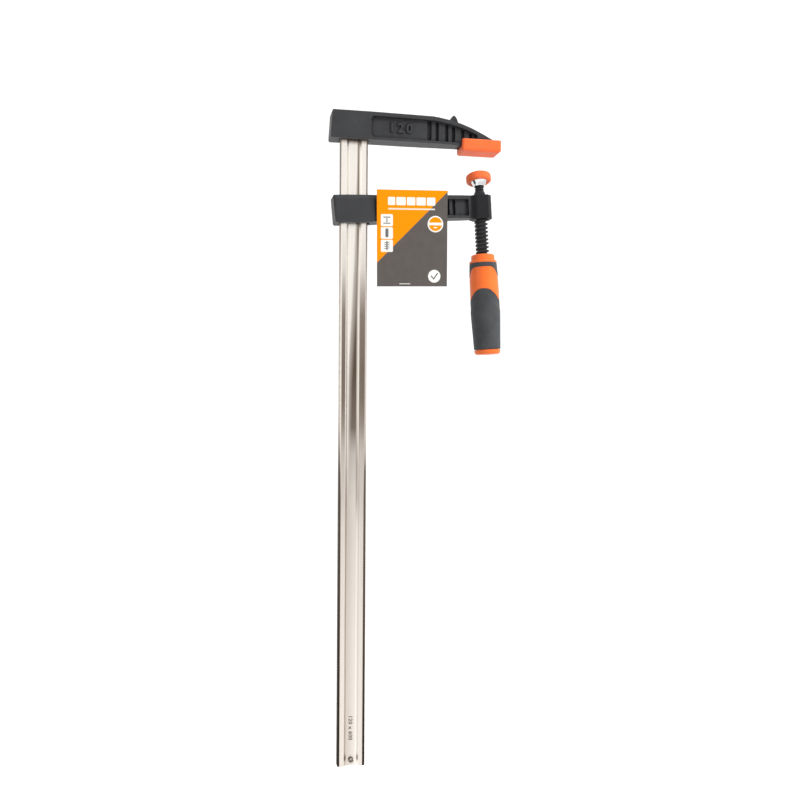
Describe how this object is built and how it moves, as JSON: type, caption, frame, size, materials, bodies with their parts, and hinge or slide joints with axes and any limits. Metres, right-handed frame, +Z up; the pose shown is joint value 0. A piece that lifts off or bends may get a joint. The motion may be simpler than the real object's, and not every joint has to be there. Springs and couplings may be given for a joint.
{
  "type": "f clamp",
  "caption": "F-shaped bar clamp: profiled steel bar, fixed jaw, sliding arm with a screw spindle, swivel pad and soft-grip handle.",
  "frame": {"origin": "centre of the bar's lower end face", "axes": "+Z up the bar towards the fixed jaw, +X from the bar towards the jaws' tips, +Y through the clamp's thickness"},
  "size_m": [0.1809, 0.0323, 0.6649],
  "materials": {
    "bar_steel": "drawn and zinc-bright, slightly warm",
    "pin_steel": "plain spring steel",
    "jaw_iron": "dark grey paint over a fine cast texture",
    "cap_plastic": "soft orange plastic, satin",
    "spindle_steel": "blackened and oiled",
    "plate_chrome": "bright nickel plate",
    "handle_plastic": "hard orange plastic, semi-gloss",
    "grip_rubber": "soft-touch elastomer, matt",
    "printed_card": "printed card, satin varnish"
  },
  "bodies": {
    "root": {"bar_rail": "bar_steel", "bar_stop_pin": "pin_steel", "fixed_jaw": "jaw_iron", "fixed_jaw_pin": "pin_steel", "fixed_jaw_cap": "cap_plastic"},
    "arm": {"sliding_arm": "jaw_iron"},
    "card": {"hang_card": "printed_card"},
    "feed": {"ball_retaining_ring": "spindle_steel"},
    "screw": {"spindle": "spindle_steel", "handle_core": "handle_plastic", "handle_top_band": "grip_rubber", "handle_grip": "grip_rubber", "handle_end_cap": "handle_plastic", "handle_lock_washer": "pin_steel"},
    "pad": {"swivel_plate": "plate_chrome", "pad_cap": "cap_plastic"}
  },
  "joints": [
    {"name": "arm_slide", "type": "slide", "parent": "root", "child": "arm", "axis": [0, 0, 1], "range_m": [-0.538, 0]},
    {"name": "card_slide", "type": "slide", "parent": "arm", "child": "card", "axis": [0.9983, 0, 0.0576], "range_m": [-0.005, 0.02]},
    {"name": "spindle_feed", "type": "slide", "parent": "arm", "child": "feed", "axis": [-0.0576, 0, 0.9983], "range_m": [-0.009, 0.018]},
    {"name": "spindle_turn", "type": "hinge", "parent": "feed", "child": "screw", "pos_m": [0.13378, 0, 0.57071], "axis": [-0.0576, 0, 0.9983], "range_deg": [-815, 1625]},
    {"name": "pad_tilt", "type": "hinge", "parent": "feed", "child": "pad", "pos_m": [0.13226, 0, 0.59697], "axis": [0.9983, 0, 0.0576], "range_deg": [-1, 22]}
  ],
  "couplings": [
    {"joint": "spindle_turn", "follows": "spindle_feed", "rad_per_m": 1570.8}
  ]
}
